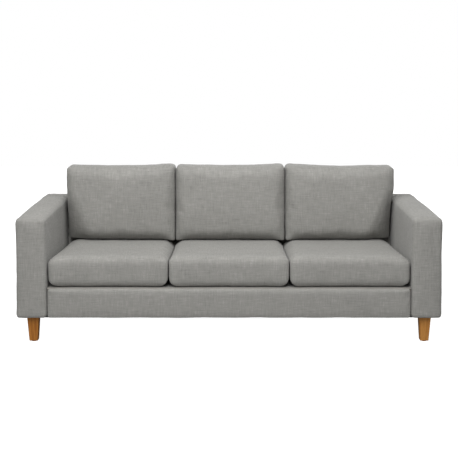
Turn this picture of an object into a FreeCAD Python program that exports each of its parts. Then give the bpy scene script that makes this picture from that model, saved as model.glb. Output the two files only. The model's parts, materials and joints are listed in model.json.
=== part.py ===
"""A three-seat sofa on four tapered wooden legs, as its separate pieces.

Frame: X runs along the sofa, Y from the front to the back, Z up. The origin is on the floor under the
middle of the sofa. Left and right are as seen from in front. Millimetres throughout.

The sofa is a seat frame, two arms and a back that bolt together. Each is a timber carcass with boards,
padding and a sewn cover. Zigzag springs carry a felt pad and a deck cloth, and three seat cushions and
three back cushions lie loose on them.
"""

import FreeCAD, Part

import os

import Sketcher
from FreeCAD import Rotation, Vector

SIZES = [
    ("overall_width", 2120, "outside of one arm to the outside of the other"),
    ("overall_depth", 870, "front of the arms to the back of the sofa"),
    ("overall_height", 820, "floor to the top of the back cushions"),
    ("arm_height", 638, "floor to the top of the arms and of the back frame"),
    ("arm_width", 150, "one arm"),
    ("back_depth", 140, "back frame, front to back"),
    ("back_rake", 36, "how much thicker the inner back pad is at its foot"),
    ("back_pad_lip", 6, "thickness of the inner back pad at its top"),
    ("back_pad_drop", 15, "top of the inner back pad below the top of the back"),
    ("leg_height", 130, "floor to the underside of the base"),
    ("seat_rail_height", 136, "timber rails of the seat frame"),
    ("cross_rail_drop", 30, "cross rails below the seat rails, clear of the springs"),
    ("rail_setback", 10, "front rail behind the front of the arms"),
    ("rail_return", 60, "front rail cover, over the edge of the deck"),
    ("side_gap", 2, "seat base to each arm"),
    ("cover", 2, "upholstery fabric with its lining"),
    ("dust_cover", 1, "non-woven cloth under the base"),
    ("pad_top", 25, "padding on top of the arms and back"),
    ("pad_front", 20, "padding on the front of the arms"),
    ("pad_inner", 12, "padding on the inner side of the arms"),
    ("pad_outer", 8, "padding on the outer sides and behind the back"),
    ("pad_rail", 12, "padding on the front rail"),
    ("edge_round", 24, "radius of the upholstered edges"),
    ("rail_round", 13, "radius of the top edge of the front rail"),
    ("timber", 30, "thickness of posts, bottom rails and seat rails"),
    ("top_rail", 18, "thickness of the top rails"),
    ("board", 3, "hardboard panels"),
    ("spring_wire", 4, "wire of the zigzag springs"),
    ("spring_bar", 30, "straight part of each bar of a spring"),
    ("spring_pitch", 22, "bar to bar along a spring, to the nearest whole bar"),
    ("springs_per_seat", 4, "springs under each seat cushion"),
    ("clip_wall", 1.2, "sheet of the spring clips"),
    ("clip_width", 25, "spring clip along its bar"),
    ("clip_slack", 0.1, "clearance around the wire in its clip"),
    ("felt", 5, "felt pad over the springs"),
    ("cushion_gap", 4, "between cushions, and between cushion and arm"),
    ("contact_gap", 1, "between a loose cushion and what it rests on"),
    ("cushion_wrap", 14, "fibre wrap and fabric around each foam core"),
    ("cushion_round", 28, "radius of the edges of the cushions"),
    ("seat_front", 160, "seat cushion thickness at its front"),
    ("seat_rear", 131, "seat cushion thickness at its rear"),
    ("seat_setback", 5, "seat cushion behind the front of the arms"),
    ("back_cushion", 160, "back cushion thickness"),
    ("leg_top", 58, "side of the square leg at its top"),
    ("leg_foot", 42, "side of the square leg at its foot"),
    ("post_clearance", 1, "tee nuts of the front legs behind the arms' front posts"),
    ("leg_round", 3, "radius of the leg's long edges"),
    ("glide_width", 26, "diameter of the glide under each leg"),
    ("glide_height", 5, "glide below the leg"),
    ("glide_pin", 4, "diameter of the glide's pin"),
    ("glide_pin_depth", 14, "glide's pin inside the leg"),
    ("bolt", 8, "leg bolts and frame bolts"),
    ("bolt_slack", 0.2, "radial clearance around a bolt, nut or pin"),
    ("leg_bolt_depth", 45, "leg bolt inside the leg"),
    ("leg_bolt_rise", 42, "leg bolt above the leg"),
    ("nut_barrel", 11, "barrel diameter of the tee nuts"),
    ("nut_barrel_depth", 12, "tee nut barrel inside its rail"),
    ("nut_flange", 20, "flange diameter of the tee nuts"),
    ("nut_flange_height", 1.5, "flange thickness of the tee nuts"),
    ("insert_width", 14, "diameter of the insert nuts"),
    ("insert_depth", 20, "length of the insert nuts"),
    ("bolt_head", 18, "diameter of the frame bolts' flat heads"),
    ("bolt_head_height", 4, "head of the frame bolts"),
    ("arm_bolt_inset", 120, "arm bolts from the ends of the seat frame"),
    ("back_bolt_spread", 450, "back bolts, from one to the next"),
]

SIDES = (("left", -1), ("right", 1))
SEATS = (("left", -1), ("centre", 0), ("right", 1))

doc = FreeCAD.newDocument("sofa")
sheet = doc.addObject("Spreadsheet::Sheet", "dims")
for row, (alias, value, meaning) in enumerate(SIZES, start=1):
    sheet.set(f"A{row}", meaning)
    sheet.set(f"B{row}", str(value))
    sheet.setAlias(f"B{row}", alias)
doc.recompute()

pieces = []


def dim(alias):
    """A cell's value, for the shapes that are worked out in code."""
    return float(sheet.get(alias))


def keep(piece, label):
    """Names a finished sub-part, whose label is also its file's name."""
    piece.Label = label
    pieces.append(piece)
    return piece


def place(thing, x="0", y="0", z="0"):
    for axis, expression in zip("xyz", (x, y, z)):
        thing.setExpression(f"Placement.Base.{axis}", expression)
    return thing


def mirrored(side, start, width):
    """Lowest X of something that spans start to start + width on the right, on either side."""
    return f"{start}" if side > 0 else f"-({start}) - ({width})"


# Levels and planes that several pieces share, as expressions on the sheet.
HALF_WIDTH = "dims.overall_width / 2"
HALF_DEPTH = "dims.overall_depth / 2"
ARM_INNER = f"({HALF_WIDTH} - dims.arm_width)"
BACK_FACE = f"({HALF_DEPTH} - dims.back_depth)"
BASE = "(dims.leg_height + dims.dust_cover)"
BODY_HEIGHT = f"(dims.arm_height - {BASE})"
RAIL_TOP = f"({BASE} + dims.seat_rail_height)"
CLIP_HEIGHT = "(dims.spring_wire + 2 * dims.clip_wall + 2 * dims.clip_slack)"
FELT_BOTTOM = f"({RAIL_TOP} + {CLIP_HEIGHT})"
DECK_BOTTOM = f"({FELT_BOTTOM} + dims.felt)"
DECK_TOP = f"({DECK_BOTTOM} + dims.cover)"
SEAT_HALF = f"({ARM_INNER} - dims.side_gap)"
RAIL_FRONT = f"(dims.rail_setback - {HALF_DEPTH})"
TIMBER_FRONT = f"({RAIL_FRONT} + dims.cover + dims.pad_rail)"
TIMBER_REAR = f"({BACK_FACE} - dims.side_gap)"
BACK_FOOT = f"({BACK_FACE} - dims.back_rake)"
BOLT_LEVEL = f"({BASE} + dims.timber / 2)"
POST_REAR = "(dims.cover + dims.pad_front + dims.timber)"
CUSHION_WIDTH = f"((2 * {ARM_INNER} - 4 * dims.cushion_gap) / 3)"
SEAT_BOTTOM = f"({DECK_TOP} + dims.contact_gap)"


def box(label, size, at):
    piece = doc.addObject("Part::Box", label)
    for side, expression in zip(("Length", "Width", "Height"), size):
        piece.setExpression(side, expression)
    return place(piece, *at)


def cylinder(label, diameter, length, at, axis=Vector(0, 0, 1)):
    piece = doc.addObject("Part::Cylinder", label)
    piece.setExpression("Radius", f"({diameter}) / 2")
    piece.setExpression("Height", length)
    piece.Placement = FreeCAD.Placement(Vector(), Rotation(Vector(0, 0, 1), axis))
    return place(piece, *at)


def group(label, things):
    piece = doc.addObject("Part::Compound", label)
    piece.Links = things
    return piece


def cut(label, base, tool):
    piece = doc.addObject("Part::Cut", label)
    piece.Base, piece.Tool = base, tool
    return piece


def fused(label, base, tool):
    piece = doc.addObject("Part::Fuse", label)
    piece.Base, piece.Tool = base, tool
    return piece


def origin_plane(body, role):
    return next(plane for plane in body.Origin.OriginFeatures if plane.Role == role)


def outline(body, role, corners):
    """A closed sketch on one of the body's origin planes. Its corners are pairs of expressions, none of
    them negative."""
    sketch = body.newObject("Sketcher::SketchObject", f"{body.Name}_outline")
    sketch.AttachmentSupport = [(origin_plane(body, role), "")]
    sketch.MapMode = "FlatFace"
    points = [Vector(evaluate(across), evaluate(up), 0) for across, up in corners]
    count = len(points)
    for n, point in enumerate(points):
        sketch.addGeometry(Part.LineSegment(point, points[(n + 1) % count]), False)
    for n in range(count):
        sketch.addConstraint(Sketcher.Constraint("Coincident", n, 2, (n + 1) % count, 1))
    for n, pair in enumerate(corners):
        for kind, expression in zip(("DistanceX", "DistanceY"), pair):
            set_distance(sketch, kind, n, expression)
    return sketch


def set_distance(sketch, kind, corner, expression):
    """Ties one coordinate of a corner to the sheet, or to the axis where it is nought."""
    if expression == "0":
        axis = -2 if kind == "DistanceX" else -1
        sketch.addConstraint(Sketcher.Constraint("PointOnObject", corner, 1, axis))
        return
    value = evaluate(expression)
    index = sketch.addConstraint(Sketcher.Constraint(kind, -1, 1, corner, 1, value))
    sketch.setExpression(f"Constraints[{index}]", expression)


def evaluate(expression):
    """The value of an expression on the sheet now."""
    value = sheet.evalExpression(expression)
    return float(getattr(value, "Value", value))


def prism(label, role, corners, length, at):
    """A body whose outline, on the XY or YZ origin plane, is padded along that plane's normal."""
    body = doc.addObject("PartDesign::Body", label)
    sketch = outline(body, role, corners)
    pad = body.newObject("PartDesign::Pad", f"{label}_pad")
    pad.Profile = sketch
    pad.setExpression("Length", length)
    sketch.Visibility = False
    place(body, *at)
    doc.recompute()
    return body


def rounded(body, chosen, radius):
    """Fillets the body's edges whose two end points, in the body's own frame, chosen() accepts."""
    solid = body.Tip
    names = []
    for n, edge in enumerate(solid.Shape.Edges, start=1):
        ends = [vertex.Point for vertex in edge.Vertexes]
        if chosen(*ends):
            names.append(f"Edge{n}")
    fillet = body.newObject("PartDesign::Fillet", f"{body.Name}_fillet")
    fillet.Base = (solid, names)
    fillet.setExpression("Radius", radius)
    doc.recompute()
    return body


def block(label, size, at):
    """A body padded from a rectangle."""
    width, depth, height = size
    corners = [("0", "0"), (width, "0"), (width, depth), ("0", depth)]
    return prism(label, "XY_Plane", corners, height, at)


def off(value, level):
    return abs(value - level) > 1e-6


# ---------------------------------------------------------------- seat frame


def make_seat_frame():
    height = "dims.seat_rail_height"
    length = f"(2 * ({SEAT_HALF} - dims.side_gap))"
    left_end = f"-({length}) / 2"
    span = f"({TIMBER_REAR} - {TIMBER_FRONT} - 2 * dims.timber)"
    behind_front = f"{TIMBER_FRONT} + dims.timber"
    front = box("front_rail", (length, "dims.timber", height), (left_end, TIMBER_FRONT, BASE))
    keep(front, "seat_front_rail")

    rear_at = f"{TIMBER_REAR} - dims.timber"
    rear = box("rear_rail", (length, "dims.timber", height), (left_end, rear_at, BASE))
    keep(cut("rear_rail_bored", rear, back_bolt_bores()), "seat_rear_rail")

    cross_height = f"{height} - dims.cross_rail_drop"
    for name, side in SIDES:
        at = mirrored(side, f"({length}) / 2 - dims.timber", "dims.timber")
        end = box(f"end_rail_{name}", ("dims.timber", span, height), (at, behind_front, BASE))
        keep(cut(f"end_rail_bored_{name}", end, arm_bolt_bores(name, side)), f"seat_end_rail_{name}")
        at = mirrored(side, f"{CUSHION_WIDTH} / 2", "dims.timber")
        cross = box(f"cross_{name}", ("dims.timber", span, cross_height), (at, behind_front, BASE))
        keep(cross, f"seat_cross_rail_{name}")


# ------------------------------------------------------------------ bolting


def arm_bolt_places():
    """Y of the bolts that hold an arm to the seat frame."""
    inset = "dims.arm_bolt_inset"
    return (f"({TIMBER_FRONT} + {inset})", f"({TIMBER_REAR} - {inset})")


def back_bolt_places():
    """X of the bolts that hold the back to the seat frame."""
    return [f"({n} * dims.back_bolt_spread)" for n in (-1.5, -0.5, 0.5, 1.5)]


BORE = "(dims.bolt + 2 * dims.bolt_slack)"
INSERT_BORE = "(dims.insert_width + 2 * dims.bolt_slack)"
SEAT_SIDE = f"({SEAT_HALF} - dims.side_gap)"
ARM_TIMBER = f"({ARM_INNER} + dims.cover + dims.pad_inner + dims.board)"
BACK_TIMBER = f"({BACK_FACE} + dims.cover + dims.pad_outer)"
MADE = {}


def once(key, make):
    """Makes a shared tool the first time it is asked for."""
    if key not in MADE:
        MADE[key] = make()
    return MADE[key]


def arm_bolt_bores(name, side):
    """Clearance holes from the seat's end rail into the arm's bottom rail."""
    start = f"{SEAT_SIDE} - dims.timber - dims.cover"
    length = f"({ARM_TIMBER} + dims.cover - ({start}))"

    def make():
        tools = []
        for n, y in enumerate(arm_bolt_places()):
            at = (mirrored(side, start, length), y, BOLT_LEVEL)
            tools.append(cylinder(f"arm_bore_{name}_{n}", BORE, length, at, Vector(1, 0, 0)))
        return group(f"arm_bores_{name}", tools)

    return once(("arm", name), make)


def back_bolt_bores():
    """Clearance holes from the seat's rear rail into the bottom rail of the back."""
    start = f"({TIMBER_REAR} - dims.timber - dims.cover)"
    length = f"({BACK_TIMBER} + dims.cover - {start})"

    def make():
        tools = []
        for n, x in enumerate(back_bolt_places()):
            at = (x, start, BOLT_LEVEL)
            tools.append(cylinder(f"back_bore_{n}", BORE, length, at, Vector(0, 1, 0)))
        return group("back_bores", tools)

    return once("back", make)


def frame_fastenings():
    """For each frame bolt: the face its head bears on, the face its insert nut starts at, and its way."""
    found = []
    for _, side in SIDES:
        for y in arm_bolt_places():
            bearing = f"{side} * ({SEAT_SIDE} - dims.timber)"
            nut = f"{side} * {ARM_TIMBER}"
            found.append(((bearing, y, BOLT_LEVEL), (nut, y, BOLT_LEVEL), Vector(side, 0, 0)))
    for x in back_bolt_places():
        bearing = f"{TIMBER_REAR} - dims.timber"
        found.append(((x, bearing, BOLT_LEVEL), (x, BACK_TIMBER, BOLT_LEVEL), Vector(0, 1, 0)))
    return found


def shifted(at, way, distance):
    """A place moved along an axis by an expression."""
    moved = []
    for start, share in zip(at, way):
        moved.append(f"{start} + ({int(share)}) * ({distance})" if share else start)
    return moved


def make_frame_bolts():
    bolts, nuts = [], []
    for n, (bearing, nut_face, way) in enumerate(frame_fastenings()):
        axis = [abs(share) for share in way].index(1)
        length = f"abs(({nut_face[axis]}) - ({bearing[axis]})) + dims.insert_depth"
        shank = cylinder(f"frame_shank_{n}", "dims.bolt", length, bearing, way)
        head_at = shifted(bearing, way, "-dims.bolt_head_height")
        head = cylinder(f"frame_head_{n}", "dims.bolt_head", "dims.bolt_head_height", head_at, way)
        bolts.append(fused(f"frame_bolt_{n}", shank, head))

        sleeve = cylinder(f"insert_{n}", "dims.insert_width", "dims.insert_depth", nut_face, way)
        thread = cylinder(f"insert_hole_{n}", BORE, "dims.insert_depth", nut_face, way)
        nuts.append(cut(f"frame_insert_{n}", sleeve, thread))
    keep(group("bolts", bolts), "frame_bolts")
    keep(group("inserts", nuts), "frame_insert_nuts")


def insert_bores(label, faces, way):
    """Blind holes for insert nuts, a little deeper than the nuts and the bolt ends."""
    depth = "dims.insert_depth + dims.pad_outer"
    tools = [
        cylinder(f"{label}_{n}", INSERT_BORE, depth, face, way) for n, face in enumerate(faces)
    ]
    return group(label, tools)


# --------------------------------------------------------------------- legs


def leg_places():
    """Name, X and Y of each leg: the front ones just behind the arms' front posts, where their tee nuts
    are clear of them, and the rear ones as far in from the back."""
    inset = f"({POST_REAR} + dims.post_clearance + dims.nut_flange / 2)"
    across = f"({HALF_WIDTH} - dims.arm_width / 2)"
    along = f"({HALF_DEPTH} - {inset})"
    return [
        (f"{end}_{name}", f"{side} * {across}", f"{sign} * {along}")
        for end, sign in (("front", -1), ("rear", 1))
        for name, side in SIDES
    ]


def leg_bores():
    """Holes for the tee nuts and leg bolts, up through the base."""

    def make():
        tools = []
        diameter = "dims.nut_barrel + 2 * dims.bolt_slack"
        length = "dims.dust_cover + dims.timber + 2 * dims.cover"
        for name, x, y in leg_places():
            at = (x, y, "dims.leg_height - dims.cover")
            tools.append(cylinder(f"leg_bore_{name}", diameter, length, at))
        return group("leg_bores", tools)

    return once("legs", make)


def square_sketch(body, side):
    """A square on the body's XY plane, centred on its Z axis."""
    sketch = body.newObject("Sketcher::SketchObject", f"{body.Name}_square")
    sketch.AttachmentSupport = [(origin_plane(body, "XY_Plane"), "")]
    sketch.MapMode = "FlatFace"
    half = evaluate(side) / 2
    corners = [Vector(x, y, 0) for x, y in ((-half, -half), (half, -half), (half, half), (-half, half))]
    for n, corner in enumerate(corners):
        sketch.addGeometry(Part.LineSegment(corner, corners[(n + 1) % 4]), False)
    for n in range(4):
        sketch.addConstraint(Sketcher.Constraint("Coincident", n, 2, (n + 1) % 4, 1))
        sketch.addConstraint(Sketcher.Constraint("Vertical" if n % 2 else "Horizontal", n))
    sketch.addConstraint(Sketcher.Constraint("Symmetric", 0, 1, 1, 2, -1, 1))
    for kind, line in (("DistanceX", 0), ("DistanceY", 1)):
        index = sketch.addConstraint(Sketcher.Constraint(kind, line, 1, line, 2, 2 * half))
        sketch.setExpression(f"Constraints[{index}]", side)
    return sketch


def make_legs():
    """Square legs that widen upwards from the glide, bored for their bolt and the glide's pin."""
    length = "(dims.leg_height - dims.glide_height)"
    for name, x, y in leg_places():
        body = doc.addObject("PartDesign::Body", f"leg_body_{name}")
        taper = body.newObject("PartDesign::Pad", f"taper_{name}")
        taper.Profile = square_sketch(body, "dims.leg_foot")
        taper.setExpression("Length", length)
        taper.setExpression("TaperAngle", f"atan((dims.leg_top - dims.leg_foot) / 2 / {length})")
        place(body, x, y, "dims.glide_height")
        doc.recompute()
        rounded(body, lambda a, b: off(a.z, b.z), "dims.leg_round")

        at = (x, y, "dims.leg_height - dims.leg_bolt_depth")
        bolt_hole = cylinder(f"leg_hole_{name}", BORE, "dims.leg_bolt_depth", at)
        pin_width = "dims.glide_pin + 2 * dims.bolt_slack"
        at = (x, y, "dims.glide_height")
        pin_hole = cylinder(f"pin_hole_{name}", pin_width, "dims.glide_pin_depth", at)
        holes = group(f"leg_holes_{name}", [bolt_hole, pin_hole])
        keep(cut(f"leg_bored_{name}", body, holes), f"leg_{name}")


def make_leg_fittings():
    bolts, nuts, glides = [], [], []
    for name, x, y in leg_places():
        at = (x, y, "dims.leg_height - dims.leg_bolt_depth")
        length = "dims.leg_bolt_depth + dims.leg_bolt_rise"
        bolts.append(cylinder(f"leg_bolt_{name}", "dims.bolt", length, at))

        top = f"({BASE} + dims.timber)"
        barrel_at = (x, y, f"{top} - dims.nut_barrel_depth")
        depth = "dims.nut_barrel_depth + dims.nut_flange_height"
        barrel = cylinder(f"nut_barrel_{name}", "dims.nut_barrel", depth, barrel_at)
        thread = cylinder(f"nut_thread_{name}", BORE, depth, barrel_at)
        flange = cylinder(f"nut_flange_{name}", "dims.nut_flange", "dims.nut_flange_height", (x, y, top))
        nuts.append(cut(f"tee_nut_{name}", fused(f"nut_{name}", barrel, flange), thread))

        disc = cylinder(f"glide_disc_{name}", "dims.glide_width", "dims.glide_height", (x, y, "0"))
        rise = "dims.glide_height + dims.glide_pin_depth"
        pin = cylinder(f"glide_pin_{name}", "dims.glide_pin", rise, (x, y, "0"))
        glides.append(fused(f"glide_{name}", disc, pin))
    keep(group("leg_bolt_group", bolts), "leg_bolts")
    keep(group("tee_nut_group", nuts), "leg_tee_nuts")
    keep(group("glide_group", glides), "leg_glides")


# --------------------------------------------------------------------- arms


def arm_shell(name, side, label, inset, radius):
    """An arm's outer shape, moved in by inset on every side but the foot and the rear."""
    width = f"(dims.arm_width - 2 * {inset})"
    depth = f"({BACK_FACE} + {HALF_DEPTH} - {inset})"
    height = f"({BODY_HEIGHT} - {inset})"
    at = (
        mirrored(side, f"({ARM_INNER} + {inset})", width),
        f"{inset} - {HALF_DEPTH}",
        BASE,
    )
    body = block(f"{label}_{name}", (width, depth, height), at)
    rear = evaluate(depth)

    def chosen(a, b):
        low = not off(a.z, 0) and not off(b.z, 0)
        at_rear = not off(a.y, rear) and not off(b.y, rear)
        return not low and not at_rear

    return rounded(body, chosen, radius)


def make_arm(name, side):
    bores = arm_bolt_bores(name, side)
    outside = arm_shell(name, side, "arm_outside", "0", "dims.edge_round")
    lining = arm_shell(name, side, "arm_lining", "dims.cover", "dims.edge_round - dims.cover")
    cover = cut(f"arm_cover_closed_{name}", outside, lining)
    keep(cut(f"arm_cover_bored_{name}", cover, bores), f"arm_cover_{name}")

    board_at = f"({ARM_INNER} + dims.cover + dims.pad_inner)"
    outer_at = f"({HALF_WIDTH} - dims.cover - dims.pad_outer - dims.board)"
    carcass = f"({outer_at} + dims.board - {board_at})"
    front = f"(dims.cover + dims.pad_front - {HALF_DEPTH})"
    depth = f"({BACK_FACE} - {front})"
    height = f"({BODY_HEIGHT} - dims.cover - dims.pad_top)"
    at = (mirrored(side, board_at, carcass), front, BASE)
    hollow = box(f"arm_hollow_{name}", (carcass, depth, height), at)
    padding = cut(f"arm_padding_closed_{name}", lining, hollow)
    keep(cut(f"arm_padding_bored_{name}", padding, bores), f"arm_padding_{name}")

    panel = ("dims.board", depth, height)
    inner = box(f"arm_inner_{name}", panel, (mirrored(side, board_at, "dims.board"), front, BASE))
    keep(cut(f"arm_inner_bored_{name}", inner, bores), f"arm_inner_board_{name}")
    outer = box(f"arm_outer_{name}", panel, (mirrored(side, outer_at, "dims.board"), front, BASE))
    keep(outer, f"arm_outer_board_{name}")

    width = f"({carcass} - 2 * dims.board)"
    x = mirrored(side, ARM_TIMBER, width)
    foot = box(f"arm_foot_{name}", (width, depth, "dims.timber"), (x, front, BASE))
    faces = [(f"{side} * {ARM_TIMBER}", y, BOLT_LEVEL) for y in arm_bolt_places()]
    inserts = insert_bores(f"arm_insert_bores_{name}", faces, Vector(side, 0, 0))
    drilled = cut(f"arm_foot_drilled_{name}", foot, leg_bores())
    keep(cut(f"arm_foot_bored_{name}", drilled, inserts), f"arm_bottom_rail_{name}")

    top_at = f"({BASE} + {height} - dims.top_rail)"
    top = box(f"arm_top_{name}", (width, depth, "dims.top_rail"), (x, front, top_at))
    keep(top, f"arm_top_rail_{name}")
    post = (width, "dims.timber", f"({height} - dims.top_rail - dims.timber)")
    on_foot = f"({BASE} + dims.timber)"
    keep(box(f"arm_front_{name}", post, (x, front, on_foot)), f"arm_front_post_{name}")
    rear = f"({BACK_FACE} - dims.timber)"
    keep(box(f"arm_rear_{name}", post, (x, rear, on_foot)), f"arm_rear_post_{name}")


# --------------------------------------------------------------------- back


def back_shell(label, inset, radius):
    """The back's outer shape, moved in by inset on every side but the foot."""
    width = f"(dims.overall_width - 2 * {inset})"
    depth = f"(dims.back_depth - 2 * {inset})"
    height = f"({BODY_HEIGHT} - {inset})"
    body = block(label, (width, depth, height), (f"-{width} / 2", f"{BACK_FACE} + {inset}", BASE))

    def chosen(a, b):
        low = not off(a.z, 0) and not off(b.z, 0)
        ahead = not off(a.y, 0) and not off(b.y, 0)
        return not low and not ahead

    return rounded(body, chosen, radius)


def make_back():
    bores = back_bolt_bores()
    outside = back_shell("back_outside", "0", "dims.edge_round")
    lining = back_shell("back_lining", "dims.cover", "dims.edge_round - dims.cover")
    cover = cut("back_cover_closed", outside, lining)
    keep(cut("back_cover_bored", cover, bores), "back_cover")

    width = "(dims.overall_width - 2 * (dims.cover + dims.pad_outer))"
    depth = "(dims.back_depth - 2 * (dims.cover + dims.pad_outer))"
    height = f"({BODY_HEIGHT} - dims.cover - dims.pad_top)"
    left = f"-{width} / 2"
    hollow = box("back_hollow", (width, depth, height), (left, BACK_TIMBER, BASE))
    padding = cut("back_padding_closed", lining, hollow)
    keep(cut("back_padding_bored", padding, bores), "back_padding")

    timber = f"({depth} - dims.board)"
    board_at = f"{BACK_TIMBER} + {timber}"
    keep(box("back_panel", (width, "dims.board", height), (left, board_at, BASE)), "back_board")

    foot = box("back_foot", (width, timber, "dims.timber"), (left, BACK_TIMBER, BASE))
    faces = [(x, BACK_TIMBER, BOLT_LEVEL) for x in back_bolt_places()]
    drilled = cut("back_foot_drilled", foot, leg_bores())
    inserts = insert_bores("back_insert_bores", faces, Vector(0, 1, 0))
    keep(cut("back_foot_bored", drilled, inserts), "back_bottom_rail")

    top_at = f"({BASE} + {height} - dims.top_rail)"
    keep(box("back_top", (width, timber, "dims.top_rail"), (left, BACK_TIMBER, top_at)), "back_top_rail")
    post = ("dims.timber", timber, f"({height} - dims.top_rail - dims.timber)")
    on_foot = f"({BASE} + dims.timber)"
    for name, side in SIDES:
        end = mirrored(side, f"({width} / 2 - dims.timber)", "dims.timber")
        keep(box(f"back_end_{name}", post, (end, BACK_TIMBER, on_foot)), f"back_end_post_{name}")
    middle = ("-dims.timber / 2", BACK_TIMBER, on_foot)
    keep(box("back_middle", post, middle), "back_centre_post")


def make_inner_back():
    """The raked pad that the back cushions lean on, between the arms and above the deck."""
    length = f"(2 * {SEAT_HALF})"
    left = f"-{SEAT_HALF}"
    height = f"(dims.arm_height - dims.back_pad_drop - {DECK_TOP})"
    foot, lip = "dims.back_rake", "dims.back_pad_lip"
    rise = f"({height} - dims.cover)"
    pad = [("0", "0"), (f"({foot} - dims.cover)", "0"), (f"({foot} - dims.cover)", rise)]
    pad.append((f"({foot} - {lip})", rise))
    at = (left, f"{BACK_FOOT} + dims.cover", DECK_TOP)
    keep(prism("inner_back_pad", "YZ_Plane", pad, length, at), "back_inner_padding")

    sheet_line = [("0", "0"), ("dims.cover", "0"), (f"({foot} - {lip} + dims.cover)", rise), (foot, rise)]
    sheet_line += [(foot, height), (f"({foot} - {lip})", height)]
    at = (left, BACK_FOOT, DECK_TOP)
    keep(prism("inner_back_sheet", "YZ_Plane", sheet_line, length, at), "back_inner_cover")


# ------------------------------------------------- seat springs and coverings


def spring_rows():
    """X of each spring: evenly spread under each seat cushion."""
    count = int(dim("springs_per_seat"))
    width = evaluate(CUSHION_WIDTH)
    pitch = width + dim("cushion_gap")
    for seat in (-1, 0, 1):
        for n in range(count):
            yield seat * pitch + ((n + 0.5) / count - 0.5) * width


def spring_ends():
    """Y of the first and the last bar, at the middle of the front and rear rails."""
    half = dim("timber") / 2
    return evaluate(TIMBER_FRONT) + half, evaluate(TIMBER_REAR) - half


def make_springs():
    first, last = spring_ends()
    gaps = round((last - first) / dim("spring_pitch"))
    pitch = (last - first) / gaps
    half = dim("spring_bar") / 2
    level = evaluate(RAIL_TOP) + dim("clip_wall") + dim("clip_slack") + dim("spring_wire") / 2
    edges = []
    side = -1
    for n in range(gaps + 1):
        y = first + n * pitch
        start, end = Vector(side * half, y, level), Vector(-side * half, y, level)
        edges.append(Part.LineSegment(start, end).toShape())
        side = -side
        if n < gaps:
            bulge = Vector(side * (half + pitch / 2), y + pitch / 2, level)
            turn = Part.Arc(end, bulge, Vector(side * half, y + pitch, level))
            edges.append(turn.toShape())
    path = Part.Wire(edges)
    section = Part.makeCircle(dim("spring_wire") / 2, Vector(-half, first, level), Vector(1, 0, 0))
    spring = path.makePipeShell([Part.Wire([section])], True, False)
    springs = doc.addObject("Part::Feature", "springs")
    springs.Shape = Part.makeCompound([moved(spring, x) for x in spring_rows()])
    keep(springs, "seat_springs")


def moved(shape, x, y=0.0, z=0.0):
    copy = shape.copy()
    copy.translate(Vector(x, y, z))
    return copy


def make_spring_clips():
    """A folded steel clip at each end of each spring."""
    width, wall = dim("clip_width"), dim("clip_wall")
    room = dim("spring_wire") + 2 * dim("clip_slack")
    outer = room + 2 * wall
    clip = Part.makeBox(width, outer, outer, Vector(-width / 2, -outer / 2, 0))
    tunnel = Part.makeBox(width, room, room, Vector(-width / 2, -room / 2, wall))
    clip = clip.cut(tunnel)
    level = evaluate(RAIL_TOP)
    clips = doc.addObject("Part::Feature", "clips")
    clips.Shape = Part.makeCompound(
        [moved(clip, x, y, level) for x in spring_rows() for y in spring_ends()]
    )
    keep(clips, "spring_clips")


def make_deck():
    """Felt over the springs, the deck cloth on it, and the dust cover under the base."""
    length = f"(2 * {SEAT_HALF})"
    left = f"-{SEAT_HALF}"
    depth = f"({TIMBER_REAR} - {TIMBER_FRONT})"
    keep(box("felt_pad", (length, depth, "dims.felt"), (left, TIMBER_FRONT, FELT_BOTTOM)), "seat_felt_pad")
    front = f"({RAIL_FRONT} + dims.rail_return)"
    depth = f"({TIMBER_REAR} - {front})"
    keep(box("deck", (length, depth, "dims.cover"), (left, front, DECK_BOTTOM)), "seat_deck_cloth")

    margin = "dims.edge_round"
    size = (f"dims.overall_width - 2 * {margin}", f"dims.overall_depth - 2 * {margin}", "dims.dust_cover")
    at = (f"{margin} - {HALF_WIDTH}", f"{margin} - {HALF_DEPTH}", "dims.leg_height")
    keep(cut("dust_sheet_bored", box("dust_sheet", size, at), leg_bores()), "dust_cover")


def front_top_edge(level):
    """Picks the edge along the front of a block at a height."""

    def chosen(a, b):
        ends = (a.y, b.y, a.z - level, b.z - level)
        return not any(off(value, 0) for value in ends)

    return chosen


def make_front_rail_covering():
    length = f"(2 * {SEAT_HALF})"
    left = f"-{SEAT_HALF}"
    height = f"({DECK_TOP} - {BASE})"
    lining = block(
        "rail_lining",
        (length, f"({TIMBER_FRONT} - {RAIL_FRONT} - dims.cover)", f"({height} - dims.cover)"),
        (left, f"{RAIL_FRONT} + dims.cover", BASE),
    )
    top = evaluate(f"{height} - dims.cover")
    rounded(lining, front_top_edge(top), "dims.rail_round - dims.cover")
    keep(lining, "front_rail_padding")

    outside = block("rail_outside", (length, "dims.rail_return", height), (left, RAIL_FRONT, BASE))
    rounded(outside, front_top_edge(evaluate(height)), "dims.rail_round")
    room = block(
        "rail_room",
        (length, "dims.rail_return", f"({height} - dims.cover)"),
        (left, f"{RAIL_FRONT} + dims.cover", BASE),
    )
    rounded(room, front_top_edge(top), "dims.rail_round - dims.cover")
    keep(cut("rail_cover", outside, room), "front_rail_cover")


# ----------------------------------------------------------------- cushions


SEAT_FRONT = f"(dims.seat_setback - {HALF_DEPTH})"
SEAT_REAR = f"({BACK_FOOT} - dims.contact_gap)"
SEAT_DEPTH = f"({SEAT_REAR} - {SEAT_FRONT})"
SEAT_SLOPE = f"((dims.seat_front - dims.seat_rear) / {SEAT_DEPTH})"
RAKE = f"((dims.back_rake - dims.back_pad_lip) / (dims.arm_height - dims.back_pad_drop - {DECK_TOP}))"


def cushion_left(seat):
    """Lowest X of a cushion."""
    return f"({seat} * ({CUSHION_WIDTH} + dims.cushion_gap) - {CUSHION_WIDTH} / 2)"


def every_edge(a, b):
    return True


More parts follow.
